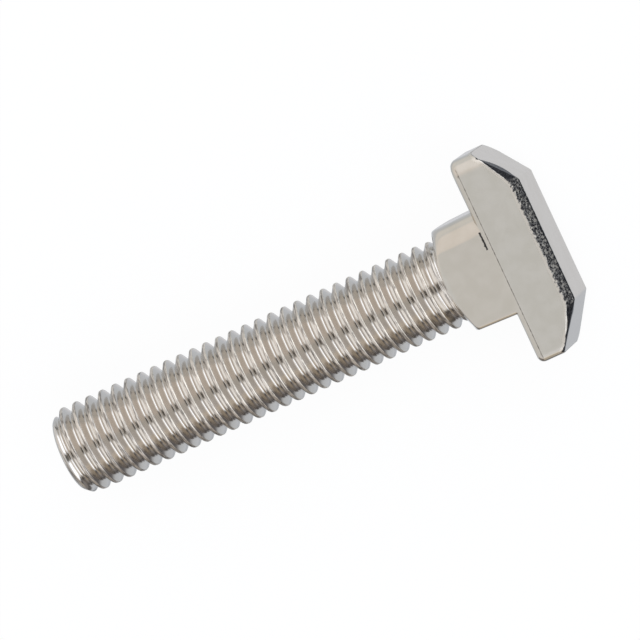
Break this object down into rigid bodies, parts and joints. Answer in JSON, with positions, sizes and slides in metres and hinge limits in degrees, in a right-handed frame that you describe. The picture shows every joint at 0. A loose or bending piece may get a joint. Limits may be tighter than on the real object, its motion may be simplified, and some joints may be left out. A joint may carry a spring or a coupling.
{
  "type": "t slot bolt",
  "caption": "T slot bolt lying on its side: a bar head with sloped ends, a flat-sided neck that stops it turning, and a threaded shank that takes a nut.",
  "frame": {"origin": "on the bolt's axis, in the face under the head that bears on the slot's lips", "axes": "+X along the shank towards its tip, Y along the head, +Z across the head; the bolt lies on the flat side of its head that faces -Z"},
  "size_m": [0.0463, 0.0186, 0.0086],
  "materials": {
    "plated_steel": "satin nickel plate over forged steel"
  },
  "bodies": {
    "root": {"t_slot_bolt": "plated_steel"}
  },
  "joints": []
}
